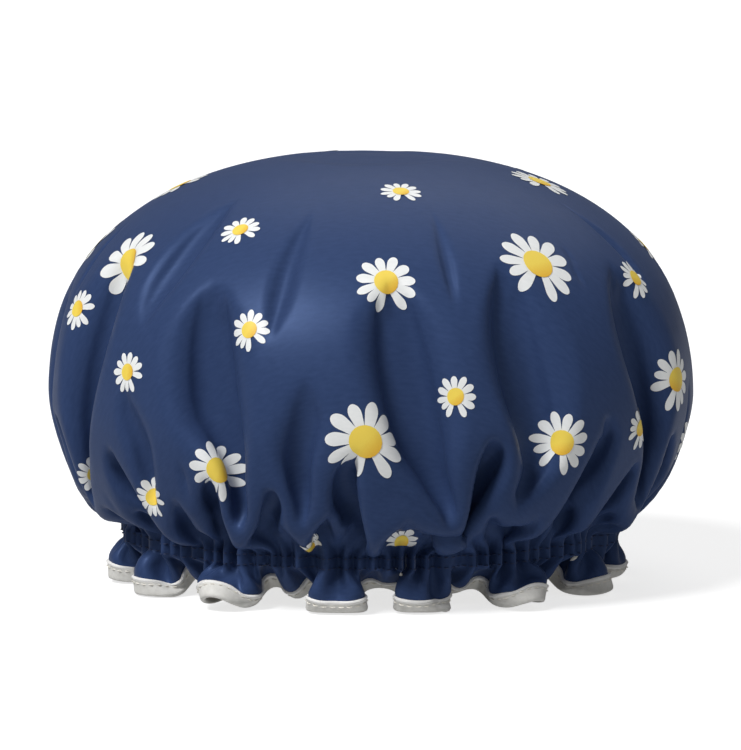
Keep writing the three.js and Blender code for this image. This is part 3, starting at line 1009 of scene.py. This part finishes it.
def casing_strip():
    """Gathered tape that holds the elastic against the lining."""
    shares = np.array([-0.02, 0.06, 0.2, 0.5, 0.8, 0.94, 1.02])
    levels = SEAM_LOW + (SEAM_HIGH - SEAM_LOW) * shares
    puff = (0, 0.4, 0.85, 1, 0.85, 0.4, 0)
    gathers = crimp(fine_azimuth)
    seam = GATHER_RADIUS + GATHER_DEPTH * CASING_CRIMP * gathers + LINING_LIFT - CASING_GAP
    inner = np.minimum(ELASTIC_OUTER - CASING_INSET + CASING_RIPPLE * gathers, seam)
    points = np.concatenate([polar(seam + (inner - seam) * share, fine_azimuth, level)
                             for level, share in zip(levels, puff)])
    faces = band_faces(len(levels), FINE_COLUMNS)
    return add_piece("casing", points, faces, {"cut": strip_place(CUT_SEAM_LOW, levels)}, [CASING_TAPE])


def elastic_strip():
    """Flat elastic, one turn with its ends lapped."""
    radius = ELASTIC_OUTER - ELASTIC_INSET
    sweep = np.linspace(0, TURN + ELASTIC_LAP / radius, ELASTIC_STEPS)
    middle = radius - ELASTIC_THICK / 2 + 1.1 * ELASTIC_THICK * (sweep / TURN - 0.5)
    level = (ELASTIC_LOW + ELASTIC_HIGH) / 2
    half = (ELASTIC_HIGH - ELASTIC_LOW) / 2
    section = [(-1, 0.6), (-0.94, 1), (0.94, 1), (1, 0.6), (1, -0.6), (0.94, -1), (-0.94, -1), (-1, -0.6)]
    up, out = np.array(section).T
    reach = middle[:, None] + out * ELASTIC_THICK / 2
    points = polar(reach, sweep[:, None], level + up * half).reshape(-1, 3)
    place = np.stack(np.meshgrid(sweep * radius, up * half, indexing="ij"), axis=2).reshape(-1, 2)
    count = len(section)
    faces = band_faces(ELASTIC_STEPS, count)
    faces.append(list(range(count)))
    faces.append([(ELASTIC_STEPS - 1) * count + side for side in reversed(range(count))])
    return add_piece("elastic", points, faces, {"cut": place}, [ELASTIC_BRAID])


def stitch_row(name, runs, pitch, material):
    """Rows of stitches, each a short thread that dips into the cloth at its ends. A run is a
    closed line of points and the normals on them."""
    radius, sides, bends = THREAD_RADIUS, THREAD_SIDES, THREAD_BENDS
    hump = np.sin(np.linspace(0, np.pi, bends))[:, None]
    thick = (radius * (0.55 + 0.45 * hump))[:, None]
    turn = TURN * np.arange(sides)[:, None] / sides
    points, faces, place = [], [], []
    for line, normal in runs:
        step = np.linalg.norm(np.roll(line, -1, 0) - line, axis=1)
        reach = np.concatenate([[0], np.cumsum(step)])
        count = int(reach[-1] / pitch)
        line = np.vstack([line, line[:1]])
        normal = np.vstack([normal, normal[:1]])
        for number in range(count):
            at = number * reach[-1] / count + np.linspace(0, STITCH_LENGTH * pitch, bends)
            middle, out = (np.stack([np.interp(at, reach, column) for column in values.T], axis=1)
                           for values in (line, normal))
            out = unit(out)
            aside = np.cross(unit(np.gradient(middle, axis=0)), out)
            centre = middle + out * radius * (2 * hump - 1)
            arms = np.cos(turn) * out[:, None] + np.sin(turn) * aside[:, None]
            first = len(points)
            points += list((centre[:, None] + thick * arms).reshape(-1, 3))
            place += [(along, angle * radius) for along in at for angle in turn[:, 0]]
            faces += [face[::-1] for face in band_faces(bends, sides, first)]
            faces.append(list(range(first, first + sides)))
            last = first + (bends - 1) * sides
            faces.append(list(range(last + sides - 1, last - 1, -1)))
    return add_piece(name, np.array(points), faces, {"cut": np.array(place)}, [material])


def cloth_run(at_cut, lift):
    """A line round the cloth with the normals on it, on its inside where lift is negative."""
    place = np.full(FINE_COLUMNS, at_cut)
    line = on_cloth(place, fine_azimuth, lift)
    normal = on_cloth(place, fine_azimuth, lift + math.copysign(1, lift)) - line
    return line, normal


crown_cloth = cloth_sheet("crown_cloth", 0, SEAM_ROW, 0, NAVY_SATIN)
frill_cloth = cloth_sheet("frill_cloth", SEAM_ROW, HEM_ROW, 0, NAVY_SATIN)
lining_crown = lining_dome()
lining_hem = cloth_sheet("lining_hem", SEAM_ROW, HEM_ROW, LINING_LIFT, LINING_FILM, False)
places = daisy_places()
crown_print = print_piece("crown_print", places, 0, CUT_SEAM_HIGH - PRINT_CLEAR_HIGH)
frill_print = print_piece("frill_print", places, CUT_SEAM_LOW + PRINT_CLEAR_LOW, BINDING_TOP)
binding = hem_binding()
casing = casing_strip()
elastic = elastic_strip()
seam_high = stitch_row("stitches_high", [cloth_run(CUT_SEAM_HIGH + SEAM_DROP, THREAD_LIFT)],
                       SEAM_PITCH, NAVY_THREAD)
seam_low = stitch_row("stitches_low", [cloth_run(CUT_SEAM_LOW, THREAD_LIFT)], SEAM_PITCH, NAVY_THREAD)
hem_runs = [cloth_run(BINDING_TOP + HEM_SEAM, lift) for lift in (0.0007, LINING_LIFT - 0.0006)]
hem_stitches = stitch_row("stitches_hem", hem_runs, HEM_PITCH, CREAM_THREAD)

# What carries each piece, what it stands for and its finish
PIECES = (
    (crown_cloth, "printed_cloth", ("crown_top", "crown_side")),
    (crown_print, "printed_cloth", ()),
    (frill_cloth, "printed_cloth", ("frill",)),
    (frill_print, "printed_cloth", ()),
    (lining_crown, "lining_film", ("lining_top", "lining_side")),
    (lining_hem, "lining_film", ("lining_frill",)),
    (binding, "binding_tape", ("hem_binding",)),
    (casing, "casing_tape", ("elastic_casing",)),
    (elastic, "elastic", ("elastic_band",)),
    (seam_high, "navy_thread", ("casing_thread_upper",)),
    (seam_low, "navy_thread", ("casing_thread_lower",)),
    (hem_stitches, "cream_thread", ("binding_thread",)),
)
for piece, slot, nodes in PIECES:
    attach(piece, "hem")
    if nodes:
        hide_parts(*nodes)

# The crown's pieces get meshes of their own
for piece in (crown_cloth, crown_print, lining_crown):
    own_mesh(piece)


# Floor, light and view
WHITE = (1, 1, 1, 1)
FLOOR_GREY = (0.45, 0.45, 0.45, 1)
FLOOR_HALF = 40.0
FLOOR_GLOW = 0.72
SURROUND_LIGHT, SURROUND_SEEN = 0.12, 1.0
# Lamps: degrees right of the front, degrees up, strength, softness, whether gloss shows them
LAMPS = (
    ("key", -42, 48, 2.95, 18, True), ("fill", 45, 30, 0.22, 60, True),
    ("back", 160, 60, 0.60, 60, True), ("rear", 195, 18, 0.45, 40, False),
    ("under", 0, -80, 0.7, 60, False),
)


def studio():
    """A white floor that shows from above only, a white surround, soft light from the front left."""
    mesh = bpy.data.meshes.new("floor")
    corners = [(x * FLOOR_HALF, y * FLOOR_HALF, 0) for x, y in ((-1, -1), (1, -1), (1, 1), (-1, 1))]
    mesh.from_pydata(corners, [], [(0, 1, 2, 3)])
    floor = new_object("floor", mesh)
    floor.visible_shadow = False
    material, node, link = new_material("floor_white", {
        "Base Color": FLOOR_GREY, "Roughness": 0.9, "Specular IOR Level": 0.1,
        "Emission Color": WHITE})
    in_view = node("LightPath").outputs["Is Camera Ray"]
    link(maths(node, "MULTIPLY", in_view, FLOOR_GLOW), "Emission Strength")
    from_below = node("NewGeometry").outputs["Backfacing"]
    link(maths(node, "SUBTRACT", 1.0, from_below), "Alpha")
    mesh.materials.append(material)

    world = bpy.data.worlds.new("studio")
    world.use_nodes = True
    scene.world = world
    nodes, links = world.node_tree.nodes, world.node_tree.links
    background = nodes["Background"]
    background.inputs["Color"].default_value = WHITE
    strength = nodes.new("ShaderNodeMapRange")
    strength.inputs["To Min"].default_value = SURROUND_LIGHT
    strength.inputs["To Max"].default_value = SURROUND_SEEN
    in_view = nodes.new("ShaderNodeLightPath").outputs["Is Camera Ray"]
    links.new(in_view, strength.inputs["Value"])
    links.new(strength.outputs[0], background.inputs["Strength"])

    for name, side, height, energy, softness, glossy in LAMPS:
        data = bpy.data.lights.new(name, "SUN")
        data.energy = energy
        data.angle = math.radians(softness)
        lamp = new_object(name, data)
        lamp.rotation_euler = direction(side, height).to_track_quat("Z", "Y").to_euler()
        lamp.visible_glossy = glossy


studio()
scene.view_settings.view_transform = "Standard"
